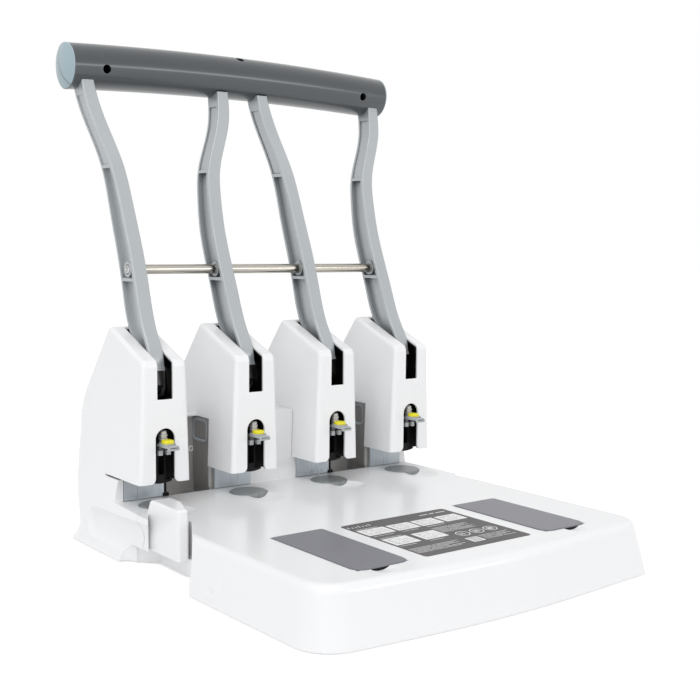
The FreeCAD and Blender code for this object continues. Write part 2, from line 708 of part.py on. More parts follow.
def side_guide():
    upright = [(guide_left, -9.5), (guide_left, -55, 3), (-131.5, -55, 3), (guide_right, -47, 3),
               (guide_right, -9.5, 1)]
    lower = prism(upright, plan_point(14.2), up * 27)
    grip = [(guide_left, -9.5), (guide_left, -55, 3), (-131.5, -55, 3), (-122.5, -30, 6), (-122.5, -9.5, 4)]
    upper = prism(grip, plan_point(table_z + 0.5), up * 10.2)
    upper = rounded(upper, 2.0, lambda b, e: b.ZMin > table_z + 10.6)
    block = fuse([lower, upper])
    slope = prism([(-5, 40.8), (-9.4, 40.8), (-16.5, 55), (-5, 55)], side_point(-150), along_x * 40)
    block = block.cut(slope)
    wing = prism([(-138, -9.1), (-165, -9.1), (-165, -60), (-152, -33, 4), (-140, -11), (-138, -11)],
                 plan_point(14.2), up * (table_z - 14.2))
    wing = wing.common(rear_low()).cut(side_scoop())
    foot = box(-128, -78, -45.5, -14.5, 14.2, 17.6)
    return fuse([block, wing, foot])


def cover_screws():
    screws = [rod(3.6, (x, y, 1.8), up, 2.2).fuse(rod(1.6, (x, y, 4.0), up, 14.0)) for x, y in screw_places]
    return Part.makeCompound(screws)


def main():
    os.makedirs("parts", exist_ok=True)
    export("base_plate", base_plate())
    export("feet", feet())
    export("frame_bolts", frame_bolts())
    export("cover_screws", cover_screws())
    export("base_cover", base_cover())
    export("rear_cover", rear_cover())
    export("chip_drawer", chip_drawer())
    left = punch_frame(0)
    export("frame_left", left)
    export("frame_right", mirrored(left))
    export("pivot_pins", pivot_pins())
    for index, x in enumerate(tower_xs):
        number = str(index + 1)
        export("head_cover_" + number, head_cover(index))
        export("stop_plate_" + number, stop_plate(x))
        export("guide_sleeve_" + number, guide_sleeve(x))
        export("ram_" + number, ram(x))
        export("punch_pin_" + number, punch_pin(x))
        export("return_spring_" + number, return_spring(x))
        export("clip_" + number, clip(x))
        export("clip_pad_" + number, clip_pad(x))
        export("cutting_disc_" + number, cutting_disc(x))
        export("lever_arm_" + number, lever_arm(index))
    export("handle_tube", handle_tube())
    export("end_cap_left", end_cap(-1))
    export("end_cap_right", end_cap(1))
    export("cross_rod", cross_rod())
    export("lever_screws", lever_screws())
    export("storage_lid_left", storage_lid(-1))
    export("storage_lid_right", storage_lid(1))
    export("label_plate", label_plate())
    export("side_guide", side_guide())


main()
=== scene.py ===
import bpy
import bmesh
import math
from mathutils import Matrix, Vector


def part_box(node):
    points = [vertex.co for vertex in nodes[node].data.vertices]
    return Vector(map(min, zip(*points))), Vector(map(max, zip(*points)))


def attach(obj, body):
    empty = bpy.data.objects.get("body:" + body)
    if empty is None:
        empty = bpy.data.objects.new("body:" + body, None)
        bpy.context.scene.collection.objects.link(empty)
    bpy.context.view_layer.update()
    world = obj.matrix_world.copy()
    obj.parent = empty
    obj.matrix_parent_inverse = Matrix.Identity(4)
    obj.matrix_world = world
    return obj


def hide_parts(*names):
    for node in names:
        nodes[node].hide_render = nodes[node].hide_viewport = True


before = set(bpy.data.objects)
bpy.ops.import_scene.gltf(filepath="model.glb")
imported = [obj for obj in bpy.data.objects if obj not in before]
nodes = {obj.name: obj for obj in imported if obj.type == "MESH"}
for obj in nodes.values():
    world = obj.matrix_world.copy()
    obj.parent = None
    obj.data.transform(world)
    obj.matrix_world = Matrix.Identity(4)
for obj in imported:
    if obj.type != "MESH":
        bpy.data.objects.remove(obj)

scene = bpy.context.scene
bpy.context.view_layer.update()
mm = 0.001
towers = ("1", "2", "3", "4")
towerX = (-120.0, -40.0, 40.0, 120.0)
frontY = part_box("head_cover_1")[0][1] / mm  # front faces of the towers, mm from the origin
print("frame loaded:", len(nodes), "nodes, tower fronts at", round(frontY, 1), "mm")


def spot(x, y, z):
    # Millimetres, with y measured from the front faces of the towers.
    return Vector((x * mm, (y + frontY) * mm, z * mm))


def newGroup(name, inputs, outputs):
    # inputs are (socket name, kind, default), outputs are (socket name, kind)
    group = bpy.data.node_groups.new(name, "ShaderNodeTree")
    kinds = {"float": "NodeSocketFloat", "color": "NodeSocketColor", "vector": "NodeSocketVector"}
    for label, kind, value in inputs:
        socket = group.interface.new_socket(name=label, in_out="INPUT", socket_type=kinds[kind])
        socket.default_value = value
    for label, kind in outputs:
        group.interface.new_socket(name=label, in_out="OUTPUT", socket_type=kinds[kind])
    return group, group.nodes.new("NodeGroupInput"), group.nodes.new("NodeGroupOutput")


def addNode(tree, kind, **values):
    node = tree.nodes.new(kind)
    for key, value in values.items():
        setattr(node, key, value)
    return node


def feed(tree, socket, value):
    if hasattr(value, "links"):
        tree.links.new(value, socket)
    else:
        socket.default_value = value


def mathNode(tree, operation, first, second=None, clamp=False):
    node = addNode(tree, "ShaderNodeMath", operation=operation, use_clamp=clamp)
    feed(tree, node.inputs[0], first)
    if second is not None:
        feed(tree, node.inputs[1], second)
    return node.outputs[0]


def rangeNode(tree, value, low, high, outLow, outHigh):
    node = addNode(tree, "ShaderNodeMapRange", clamp=True)
    for label, number in (("Value", value), ("From Min", low), ("From Max", high), ("To Min", outLow),
                          ("To Max", outHigh)):
        feed(tree, node.inputs[label], number)
    return node.outputs[0]


def mixColor(tree, factor, first, second):
    node = addNode(tree, "ShaderNodeMix", data_type="RGBA")
    feed(tree, node.inputs[0], factor)
    for index, value in ((6, first), (7, second)):
        feed(tree, node.inputs[index], value if hasattr(value, "links") else (*value, 1.0))
    return node.outputs[2]


def objectPlace(tree):
    coords = addNode(tree, "ShaderNodeTexCoord")
    split = addNode(tree, "ShaderNodeSeparateXYZ")
    tree.links.new(coords.outputs["Object"], split.inputs[0])
    return split.outputs


def noiseNode(tree, vector, scale, detail):
    noise = addNode(tree, "ShaderNodeTexNoise")
    feed(tree, noise.inputs["Vector"], vector)
    feed(tree, noise.inputs["Scale"], scale)
    noise.inputs["Detail"].default_value = detail
    return noise.outputs[0]


def buildEdgeGroup():
    # Mask that is 1 on outer edges, broken up by noise; lighter edges made with it are partly wear and partly
    # painted highlight.
    look = {"samples": 4, "flat": 0.995, "sharp": 0.86, "noiseDetail": 5.0, "noise": (0.38, 0.62),
            "least": 0.25}
    group, source, target = newGroup(
        "edgeWearAndSheen", [("Radius", "float", 0.0008), ("Breakup", "float", 120.0)], [("Mask", "float")])
    bevel = addNode(group, "ShaderNodeBevel", samples=look["samples"])
    group.links.new(source.outputs["Radius"], bevel.inputs["Radius"])
    geometry = addNode(group, "ShaderNodeNewGeometry")
    dot = addNode(group, "ShaderNodeVectorMath", operation="DOT_PRODUCT")
    group.links.new(bevel.outputs[0], dot.inputs[0])
    group.links.new(geometry.outputs["Normal"], dot.inputs[1])
    edge = rangeNode(group, dot.outputs["Value"], look["flat"], look["sharp"], 0.0, 1.0)
    coords = addNode(group, "ShaderNodeTexCoord")
    noise = noiseNode(group, coords.outputs["Object"], source.outputs["Breakup"], look["noiseDetail"])
    broken = rangeNode(group, noise, look["noise"][0], look["noise"][1], look["least"], 1.0)
    group.links.new(mathNode(group, "MULTIPLY", edge, broken), target.inputs["Mask"])
    return group


def buildGrainGroup():
    # Fine moulded or cast grain with large soft clouds of variation.
    group, source, target = newGroup(
        "fineGrain", [("Grain Scale", "float", 1800.0), ("Cloud Scale", "float", 14.0)],
        [("Grain", "float"), ("Clouds", "float")])
    coords = addNode(group, "ShaderNodeTexCoord")
    for label, scale, detail in (("Grain", "Grain Scale", 2.0), ("Clouds", "Cloud Scale", 4.0)):
        noise = noiseNode(group, coords.outputs["Object"], source.outputs[scale], detail)
        group.links.new(noise, target.inputs[label])
    return group


def buildBrushGroup():
    # Long hairlines along one direction, for rolled, drawn and ground metal.
    look = {"lineDetail": 3.0, "patchScale": 22.0, "patchDetail": 4.0}
    group, source, target = newGroup(
        "brushLines", [("Stretch", "vector", (1.0, 60.0, 60.0)), ("Scale", "float", 40.0)],
        [("Lines", "float"), ("Patches", "float")])
    coords = addNode(group, "ShaderNodeTexCoord")
    stretched = addNode(group, "ShaderNodeVectorMath", operation="MULTIPLY")
    group.links.new(coords.outputs["Object"], stretched.inputs[0])
    group.links.new(source.outputs["Stretch"], stretched.inputs[1])
    lines = noiseNode(group, stretched.outputs[0], source.outputs["Scale"], look["lineDetail"])
    group.links.new(lines, target.inputs["Lines"])
    patches = noiseNode(group, coords.outputs["Object"], look["patchScale"], look["patchDetail"])
    group.links.new(patches, target.inputs["Patches"])
    return group


edgeGroup = buildEdgeGroup()
grainGroup = buildGrainGroup()
brushGroup = buildBrushGroup()


def placeGroup(tree, group, **values):
    node = addNode(tree, "ShaderNodeGroup", node_tree=group)
    for key, value in values.items():
        node.inputs[key].default_value = value
    return node


def startMaterial(name, look):
    material = bpy.data.materials.new(name)
    material.use_nodes = True
    tree = material.node_tree
    shader = tree.nodes["Principled BSDF"]
    shader.inputs["Base Color"].default_value = (*look["color"], 1.0)
    shader.inputs["Roughness"].default_value = look["roughness"]
    shader.inputs["Metallic"].default_value = look.get("metallic", 0.0)
    shader.inputs["Coat Weight"].default_value = look.get("coat", 0.0)
    shader.inputs["Coat Roughness"].default_value = look.get("coatRoughness", 0.1)
    shader.inputs["Specular IOR Level"].default_value = look.get("specular", 0.5)
    return material, tree, shader


def addBump(tree, shader, height, strength, distance):
    bump = addNode(tree, "ShaderNodeBump")
    bump.inputs["Strength"].default_value = strength
    bump.inputs["Distance"].default_value = distance
    tree.links.new(height, bump.inputs["Height"])
    tree.links.new(bump.outputs[0], shader.inputs["Normal"])


def scaled(color, factor):
    return tuple(min(1.0, channel * factor) for channel in color)


noiseSpan = (0.3, 0.7)  # where most values of a noise lie
stainSpan = (0.45, 0.75)  # the patches that take a stain
metalBreakup = 160.0
grainDepth = 0.00005  # metres, for moulded surfaces without a depth of their own
lineDepth = 0.00004


def mouldedMaterial(name, look, layers=()):
    # Moulded plastic, rubber or paint: grain, cloudy gloss and lighter edges.
    # Each layer is (function that makes its mask, color).
    material, tree, shader = startMaterial(name, look)
    grain = placeGroup(tree, grainGroup, **{"Grain Scale": look["grainScale"],
                                            "Cloud Scale": look["cloudScale"]})
    edges = placeGroup(tree, edgeGroup, **{"Radius": look["edgeRadius"],
                                           "Breakup": look.get("breakup", 120.0)})
    low = scaled(look["color"], 1.0 - look["variation"])
    high = scaled(look["color"], 1.0 + look["variation"])
    cloudy = mixColor(tree, grain.outputs["Clouds"], low, high)
    wearAndSheen = mathNode(tree, "MULTIPLY", edges.outputs["Mask"], look["edgeAmount"])
    final = mixColor(tree, wearAndSheen, cloudy, look["edgeColor"])
    for makeMask, color in layers:
        final = mixColor(tree, makeMask(tree), final, color)
    tree.links.new(final, shader.inputs["Base Color"])
    rough = rangeNode(tree, grain.outputs["Clouds"], *noiseSpan, look["roughness"] - look["roughSpread"],
                      look["roughness"] + look["roughSpread"])
    tree.links.new(rough, shader.inputs["Roughness"])
    addBump(tree, shader, grain.outputs["Grain"], look["bump"], look.get("bumpDistance", grainDepth))
    return material


def metalMaterial(name, look, layers=()):
    # Bare metal: hairlines, stained patches and lighter edges, with layers as above.
    material, tree, shader = startMaterial(name, look)
    brush = placeGroup(tree, brushGroup, **{"Stretch": look["stretch"], "Scale": look["lineScale"]})
    edges = placeGroup(tree, edgeGroup, **{"Radius": look["edgeRadius"], "Breakup": metalBreakup})
    lines = rangeNode(tree, brush.outputs["Lines"], *noiseSpan, 0.0, 1.0)
    lined = mixColor(tree, lines, scaled(look["color"], 1.0 - look["variation"]),
                     scaled(look["color"], 1.0 + look["variation"]))
    stain = rangeNode(tree, brush.outputs["Patches"], *stainSpan, 0.0, look["stain"])
    stained = mixColor(tree, stain, lined, look["stainColor"])
    wearAndSheen = mathNode(tree, "MULTIPLY", edges.outputs["Mask"], look["edgeAmount"])
    final = mixColor(tree, wearAndSheen, stained, look["edgeColor"])
    for makeMask, color in layers:
        final = mixColor(tree, makeMask(tree), final, color)
    tree.links.new(final, shader.inputs["Base Color"])
    rough = rangeNode(tree, lines, 0.0, 1.0, look["roughness"] - look["roughSpread"],
                      look["roughness"] + look["roughSpread"])
    tree.links.new(rough, shader.inputs["Roughness"])
    addBump(tree, shader, brush.outputs["Lines"], look["bump"], lineDepth)
    return material


def insideTowerShade(tree):
    # 1 on surfaces more than a wall's edge inside a tower, 0 on its outer skin; the hoods' insides are
    # painted near-black with it as painted shade.
    look = {"pitch": 0.08, "halfWidth": 0.0203, "lean": 0.034, "levelHeight": 0.097, "edge": 0.0012,
            "soft": 0.0006, "ridgeRise": 0.41, "frontTop": 0.1505}
    place = objectPlace(tree)
    halfPitch = look["pitch"] / 2
    away = mathNode(tree, "SUBTRACT", halfPitch, mathNode(tree, "PINGPONG", place[0], halfPitch))
    level = mathNode(tree, "SUBTRACT", look["levelHeight"], place[2])
    half = mathNode(tree, "ADD", mathNode(tree, "MULTIPLY", level, look["lean"]), look["halfWidth"])
    sideDepth = mathNode(tree, "SUBTRACT", half, away)
    frontDepth = mathNode(tree, "SUBTRACT", place[1], frontY * mm)
    roofRise = mathNode(tree, "MULTIPLY", frontDepth, look["ridgeRise"])
    roofLevel = mathNode(tree, "ADD", roofRise, look["frontTop"])
    roofDepth = mathNode(tree, "SUBTRACT", roofLevel, place[2])
    depth = mathNode(tree, "MINIMUM", mathNode(tree, "MINIMUM", sideDepth, frontDepth), roofDepth)
    return rangeNode(tree, depth, look["edge"], look["edge"] + look["soft"], 0.0, 1.0)


def capCrease(tree):
    # Distance from the curved parting line across the end of the cap, and the line's half width.
    look = {"middle": (70.7, 386.8), "radius": 33.4, "width": 0.00035}
    place = objectPlace(tree)
    across = mathNode(tree, "SUBTRACT", place[1], (look["middle"][0] + frontY) * mm)
    rise = mathNode(tree, "SUBTRACT", place[2], look["middle"][1] * mm)
    squares = mathNode(tree, "ADD", mathNode(tree, "POWER", across, 2.0),
                       mathNode(tree, "POWER", rise, 2.0))
    reach = mathNode(tree, "SUBTRACT", mathNode(tree, "SQRT", squares), look["radius"] * mm)
    return reach, look["width"]


def creaseLine(tree):
    look = {"soft": 2.2, "amount": 0.8}
    reach, width = capCrease(tree)
    away = mathNode(tree, "ABSOLUTE", reach)
    return rangeNode(tree, away, width, width * look["soft"], look["amount"], 0.0)


def creasePaintedShade(tree):
    # Painted shade: the end of the cap is darker outside the curve of the parting line.
    look = {"amount": 0.55}
    reach, width = capCrease(tree)
    return rangeNode(tree, reach, 0.0, width, 0.0, look["amount"])


def capJoint(tree):
    # Dark line where the cap meets the tube.
    look = {"inner": 0.15235, "outer": 0.1526, "amount": 0.9}
    away = mathNode(tree, "ABSOLUTE", objectPlace(tree)[0])
    return rangeNode(tree, away, look["inner"], look["outer"], look["amount"], 0.0)


coverLook = {"color": (0.885, 0.887, 0.893), "roughness": 0.32, "roughSpread": 0.05, "coat": 0.25,
             "coatRoughness": 0.12, "grainScale": 2600.0, "cloudScale": 9.0, "variation": 0.010, "bump": 0.05,
             "edgeRadius": 0.0012, "edgeAmount": 0.35, "edgeColor": (0.92, 0.92, 0.925)}
# Near-black painted shade for the insides of the white hoods.
paintedInsideShade = (0.012, 0.011, 0.013)
coverWhite = mouldedMaterial("coverWhite", coverLook)
hoodWhite = mouldedMaterial("hoodWhite", coverLook, [(insideTowerShade, paintedInsideShade)])

tubeLook = {"color": (0.032, 0.039, 0.045), "roughness": 0.42, "roughSpread": 0.04, "coat": 0.85,
            "coatRoughness": 0.20, "grainScale": 1500.0, "cloudScale": 18.0, "variation": 0.10, "bump": 0.12,
            "edgeRadius": 0.0008, "edgeAmount": 0.4, "edgeColor": (0.20, 0.21, 0.22)}
tubeGrey = mouldedMaterial("tubeGrey", tubeLook)

capLook = {"color": (0.335, 0.435, 0.48), "roughness": 0.32, "roughSpread": 0.05, "coat": 0.15,
           "grainScale": 2200.0, "cloudScale": 30.0, "variation": 0.04, "bump": 0.05,
           "edgeRadius": 0.0005, "edgeAmount": 0.15, "edgeColor": (0.52, 0.60, 0.64)}
# The first cap layer is painted shade beside the parting line; the others are the line and the joint.
capLayers = [(creasePaintedShade, (0.27, 0.36, 0.39)), (creaseLine, (0.07, 0.11, 0.125)),
             (capJoint, (0.05, 0.06, 0.07))]
capBlue = mouldedMaterial("capBlue", capLook, capLayers)

guideLook = {"color": (0.006, 0.006, 0.007), "roughness": 0.60, "roughSpread": 0.08, "specular": 0.2,
             "grainScale": 1800.0, "cloudScale": 30.0, "variation": 0.15, "bump": 0.1, "edgeRadius": 0.0006,
             "edgeAmount": 0.5, "edgeColor": (0.05, 0.05, 0.052)}
guideBlack = mouldedMaterial("guideBlack", guideLook)

padLook = {"color": (0.80, 0.72, 0.010), "roughness": 0.40, "roughSpread": 0.06, "coat": 0.1,
           "grainScale": 2400.0, "cloudScale": 60.0, "variation": 0.05, "bump": 0.08, "edgeRadius": 0.0004,
           "edgeAmount": 0.3, "edgeColor": (0.92, 0.86, 0.10)}
padYellow = mouldedMaterial("padYellow", padLook)

lidLook = {"color": (0.170, 0.170, 0.196), "roughness": 0.36, "roughSpread": 0.04, "coat": 0.0,
           "grainScale": 2600.0, "cloudScale": 16.0, "variation": 0.04, "bump": 0.04, "edgeRadius": 0.0006,
           "edgeAmount": 0.4, "edgeColor": (0.36, 0.36, 0.39)}
lidGrey = mouldedMaterial("lidGrey", lidLook)

labelLook = {"color": (0.098, 0.094, 0.094), "roughness": 0.55, "roughSpread": 0.05, "grainScale": 3000.0,
             "cloudScale": 20.0, "variation": 0.05, "bump": 0.03, "edgeRadius": 0.0004, "edgeAmount": 0.3,
             "edgeColor": (0.24, 0.23, 0.23)}
labelGrey = mouldedMaterial("labelGrey", labelLook)

printLook = {"color": (0.87, 0.87, 0.87), "roughness": 0.5, "roughSpread": 0.04, "grainScale": 3000.0,
             "cloudScale": 60.0, "variation": 0.04, "bump": 0.03, "edgeRadius": 0.0002, "edgeAmount": 0.1,
             "edgeColor": (0.92, 0.92, 0.92)}
printPale = mouldedMaterial("printPale", printLook)

inkLook = {"color": (0.34, 0.33, 0.33), "roughness": 0.5, "roughSpread": 0.04, "grainScale": 3000.0,
           "cloudScale": 90.0, "variation": 0.15, "bump": 0.03, "edgeRadius": 0.0002, "edgeAmount": 0.1,
           "edgeColor": (0.25, 0.25, 0.25)}
printInk = mouldedMaterial("printInk", inkLook)

rubberLook = {"color": (0.028, 0.028, 0.029), "roughness": 0.75, "roughSpread": 0.08, "grainScale": 900.0,
              "cloudScale": 40.0, "variation": 0.2, "bump": 0.25, "edgeRadius": 0.0008, "edgeAmount": 0.3,
              "edgeColor": (0.08, 0.08, 0.08)}
footRubber = mouldedMaterial("footRubber", rubberLook)

rodLook = {"color": (0.50, 0.47, 0.42), "metallic": 1.0, "roughness": 0.22, "roughSpread": 0.06,
           "stretch": (0.6, 60.0, 60.0), "lineScale": 45.0, "variation": 0.10, "stain": 0.25,
           "stainColor": (0.34, 0.30, 0.24), "bump": 0.08, "edgeRadius": 0.0004, "edgeAmount": 0.3,
           "edgeColor": (0.7, 0.68, 0.64)}
rodSteel = metalMaterial("rodSteel", rodLook)

frameLook = {"color": (0.31, 0.303, 0.298), "metallic": 0.35, "roughness": 0.40, "roughSpread": 0.08,
             "stretch": (60.0, 60.0, 1.0), "lineScale": 12.0, "variation": 0.13, "stain": 0.35,
             "stainColor": (0.19, 0.185, 0.178), "bump": 0.10, "edgeRadius": 0.0005, "edgeAmount": 0.5,
             "edgeColor": (0.55, 0.55, 0.55)}


def frontPaintedLight(tree):
    # Painted light: steel faces turned to the front, as the back walls of the bays are, are painted brighter.
    geometry = addNode(tree, "ShaderNodeNewGeometry")
    split = addNode(tree, "ShaderNodeSeparateXYZ")
    tree.links.new(geometry.outputs["Normal"], split.inputs[0])
    look = {"turned": -0.6, "square": -0.8, "amount": 0.85}
    return rangeNode(tree, split.outputs[1], look["turned"], look["square"], 0.0, look["amount"])


# The frame's front-facing steel is painted brighter, as painted light.
frameSteel = metalMaterial("frameSteel", frameLook, [(frontPaintedLight, (0.56, 0.55, 0.54))])

stopLook = {"color": (0.46, 0.505, 0.545), "metallic": 0.5, "roughness": 0.34, "roughSpread": 0.08,
            "stretch": (60.0, 60.0, 1.0), "lineScale": 14.0, "variation": 0.07, "stain": 0.3,
            "stainColor": (0.34, 0.38, 0.42), "bump": 0.08, "edgeRadius": 0.0005, "edgeAmount": 0.5,
            "edgeColor": (0.60, 0.63, 0.66)}
stopSteel = metalMaterial("stopSteel", stopLook)

toolLook = {"color": (0.46, 0.455, 0.45), "metallic": 0.9, "roughness": 0.26, "roughSpread": 0.08,
            "stretch": (60.0, 60.0, 1.5), "lineScale": 20.0, "variation": 0.15, "stain": 0.3,
            "stainColor": (0.20, 0.19, 0.18), "bump": 0.08, "edgeRadius": 0.0004, "edgeAmount": 0.5,
            "edgeColor": (0.7, 0.7, 0.7)}
toolSteel = metalMaterial("toolSteel", toolLook)

zincLook = {"color": (0.52, 0.52, 0.52), "metallic": 0.8, "roughness": 0.34, "roughSpread": 0.08,
            "stretch": (12.0, 12.0, 12.0), "lineScale": 20.0, "variation": 0.12, "stain": 0.3,
            "stainColor": (0.40, 0.39, 0.37), "bump": 0.06, "edgeRadius": 0.0005, "edgeAmount": 0.4,
            "edgeColor": (0.72, 0.72, 0.71)}
boltZinc = metalMaterial("boltZinc", zincLook)
eyeletLook = dict(zincLook, color=(0.90, 0.90, 0.89), metallic=0.0, stainColor=(0.84, 0.84, 0.82),
                  edgeColor=(0.93, 0.93, 0.92))
eyeletPale = metalMaterial("eyeletPale", eyeletLook)

discLook = {"color": (0.245, 0.262, 0.266), "roughness": 0.38, "roughSpread": 0.07, "coat": 0.1,
            "grainScale": 1600.0, "cloudScale": 60.0, "variation": 0.16, "bump": 0.15,
            "bumpDistance": 0.00008, "edgeRadius": 0.0006, "edgeAmount": 0.6,
            "edgeColor": (0.06, 0.065, 0.067)}
discGrey = mouldedMaterial("discGrey", discLook)


def belowCam(tree):
    # The cam foot inside the tower is bare dark steel.
    look = {"level": 0.1427, "soft": 0.0004}
    return rangeNode(tree, objectPlace(tree)[2], look["level"], look["level"] - look["soft"], 0.0, 1.0)


def leverRecessShade(tree):
    # Painted shade in the recesses of the flanks, found with an occlusion node, and weaker on the first
    # lever's outer flank.
    look = {"reach": 0.011, "samples": 8, "open": 0.93, "closed": 0.45, "amount": 0.8,
            "outer": -0.118, "inner": -0.112, "outerAmount": 0.15}
    hollow = addNode(tree, "ShaderNodeAmbientOcclusion", samples=look["samples"])
    hollow.inputs["Distance"].default_value = look["reach"]
    shade = rangeNode(tree, hollow.outputs["AO"], look["open"], look["closed"], 0.0, look["amount"])
    flank = rangeNode(tree, objectPlace(tree)[0], look["outer"], look["inner"], look["outerAmount"], 1.0)
    return mathNode(tree, "MULTIPLY", shade, flank)


# The levers' light edges, edgeColor at edgeAmount, are painted highlight along the flanges' edges as well as
# wear.
leverLook = {"color": (0.44, 0.465, 0.48), "metallic": 0.30, "roughness": 0.34, "roughSpread": 0.05,
             "coat": 0.2, "grainScale": 2200.0, "cloudScale": 24.0, "variation": 0.05, "bump": 0.1,
             "bumpDistance": 0.00006, "edgeRadius": 0.0009, "edgeAmount": 0.7,
             "edgeColor": (0.72, 0.74, 0.75), "breakup": 90.0}
# The first lever layer is painted shade in the recesses; below the cam level the steel is black.
leverLayers = [(leverRecessShade, (0.17, 0.185, 0.195)), (belowCam, (0.02, 0.02, 0.02))]
leverPaint = mouldedMaterial("leverPaint", leverLook, leverLayers)

clipLook = {"color": (0.50, 0.52, 0.53), "roughness": 0.2, "roughSpread": 0.05, "coat": 0.3,
            "grainScale": 2200.0, "cloudScale": 90.0, "variation": 0.08, "bump": 0.05, "edgeRadius": 0.0006,
            "edgeAmount": 0.6, "edgeColor": (0.80, 0.81, 0.81), "breakup": 150.0}
clipClear = mouldedMaterial("clipClear", clipLook)
clipClear.node_tree.nodes["Principled BSDF"].inputs["Transmission Weight"].default_value = 0.25
smokeLook = dict(clipLook, color=(0.05, 0.05, 0.053), edgeColor=(0.25, 0.25, 0.26), edgeAmount=0.4)
clipSmoke = mouldedMaterial("clipSmoke", smokeLook)
print("finishes made")


def setMaterial(piece, material):
    piece.data.materials.clear()
    piece.data.materials.append(material)


finishOf = {"base_plate": boltZinc, "feet": footRubber, "frame_bolts": boltZinc, "cover_screws": boltZinc,
            "base_cover": coverWhite, "rear_cover": coverWhite, "chip_drawer": coverWhite,
            "frame_left": frameSteel, "frame_right": frameSteel, "pivot_pins": toolSteel,
            "handle_tube": tubeGrey, "end_cap_left": capBlue, "end_cap_right": capBlue, "cross_rod": rodSteel,
            "lever_screws": boltZinc, "storage_lid_left": lidGrey, "storage_lid_right": lidGrey,
            "label_plate": labelGrey, "side_guide": coverWhite}
towerFinish = {"head_cover": hoodWhite, "stop_plate": stopSteel, "guide_sleeve": guideBlack, "ram": toolSteel,
               "punch_pin": toolSteel, "return_spring": toolSteel, "clip": clipClear, "clip_pad": padYellow,
               "cutting_disc": discGrey, "lever_arm": leverPaint}
for kind, material in towerFinish.items():
    for tower in towers:
        finishOf[kind + "_" + tower] = material
for name, material in finishOf.items():
    setMaterial(nodes[name], material)
print("finishes assigned")


def newPiece(name, form, materials, body, smooth=35.0):
    bmesh.ops.recalc_face_normals(form, faces=form.faces)
    mesh = bpy.data.meshes.new(name)
    form.to_mesh(mesh)
    form.free()
    mesh.shade_smooth()
    mesh.set_sharp_from_angle(angle=math.radians(smooth))
    for material in materials:
        mesh.materials.append(material)
    piece = bpy.data.objects.new(name, mesh)
    scene.collection.objects.link(piece)
    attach(piece, body)
    return piece


def roundedRect(x0, x1, y0, y1, radius, steps=4):
    points = []
    for cornerX, cornerY, start in ((x1 - radius, y0 + radius, -90), (x1 - radius, y1 - radius, 0),
                                    (x0 + radius, y1 - radius, 90), (x0 + radius, y0 + radius, 180)):
        for step in range(steps + 1):
            angle = math.radians(start + 90 * step / steps)
            points.append((cornerX + radius * math.cos(angle), cornerY + radius * math.sin(angle)))
    return points


def circle(x, y, radius, count=20):
    turns = [2 * math.pi * step / count for step in range(count)]
    return [(x + radius * math.cos(turn), y + radius * math.sin(turn)) for turn in turns]


def addLoop(form, points, place):
    return [form.verts.new(place(*point)) for point in points]


def joinLoops(form, first, second, index=0):
    for step in range(len(first)):
        after = (step + 1) % len(first)
        face = form.faces.new((first[step], first[after], second[after], second[step]))
        face.material_index = index


def addStack(form, rings, index=0, cap=True):
    # rings are lists of vertices, from the bottom of a closed form to its top
    for lower, upper in zip(rings, rings[1:]):
        joinLoops(form, lower, upper, index)
    if cap:
        form.faces.new(rings[0][::-1]).material_index = index
        form.faces.new(rings[-1]).material_index = index


def addSlab(form, points, low, high, place, index=0, bevel=0.0):
    # Prism over points, with its top edge bevelled by drawing the points in towards their middle.
    middleX = sum(point[0] for point in points) / len(points)
    middleY = sum(point[1] for point in points) / len(points)
    rings = [addLoop(form, points, lambda u, v: place(u, v, low)),
             addLoop(form, points, lambda u, v: place(u, v, high - bevel))]
    if bevel:
        reach = max(abs(point[0] - middleX) for point in points)
        draw = 1 - bevel / reach
        inner = [(middleX + (u - middleX) * draw, middleY + (v - middleY) * draw) for u, v in points]
        rings.append(addLoop(form, inner, lambda u, v: place(u, v, high)))
    addStack(form, rings, index)


def addBand(form, outer, inner, low, high, place, index=0):
    # Closed band between two outlines with the same number of points.
    loops = [addLoop(form, points, lambda u, v, w=level: place(u, v, w))
             for points, level in ((outer, low), (outer, high), (inner, high), (inner, low))]
    for step in range(4):
        joinLoops(form, loops[step], loops[(step + 1) % 4], index)


def addBar(form, x0, x1, y0, y1, low, high):
    # Thin printed bar with rounded ends.
    corner = min(x1 - x0, y1 - y0) * 0.3
    addSlab(form, roundedRect(x0, x1, y0, y1, corner, 2), low, high, spot)


def addPanelInk(form, box, holes, low, high):
    # A sheet's outline with its holes, and short bars beside and on it.
    look = {"sheet": (3.0, 12.5), "margin": 2.6, "corner": 0.5, "line": 0.4, "innerCorner": 0.3, "holeX": 5.0,
            "holeRadius": 0.6, "rows": 3, "rowY": 4.6, "rowGap": 3.0, "onSheet": (7.4, 11.0, 0.4),
            "beside": (14.6, 1.8, 0.5), "shorter": 0.8}
    x0, x1, y0, y1 = box
    left, right = x0 + look["sheet"][0], x0 + look["sheet"][1]
    front, back, line = y0 + look["margin"], y1 - look["margin"], look["line"]
    outer = roundedRect(left, right, front, back, look["corner"], 2)
    inner = roundedRect(left + line, right - line, front + line, back - line, look["innerCorner"], 2)
    addBand(form, outer, inner, low, high, spot)
    for hole in range(holes):
        y = front + (back - front) * (hole + 0.5) / holes
        addSlab(form, circle(x0 + look["holeX"], y, look["holeRadius"], 12), low, high, spot)
    for row in range(look["rows"]):
        y = y0 + look["rowY"] + look["rowGap"] * row
        start, end, wide = look["onSheet"]
        addBar(form, x0 + start, x0 + end - row % 2, y, y + wide, low, high)
        start, end, wide = look["beside"]
        addBar(form, x0 + start, x1 - end - look["shorter"] * row, y, y + wide, low, high)


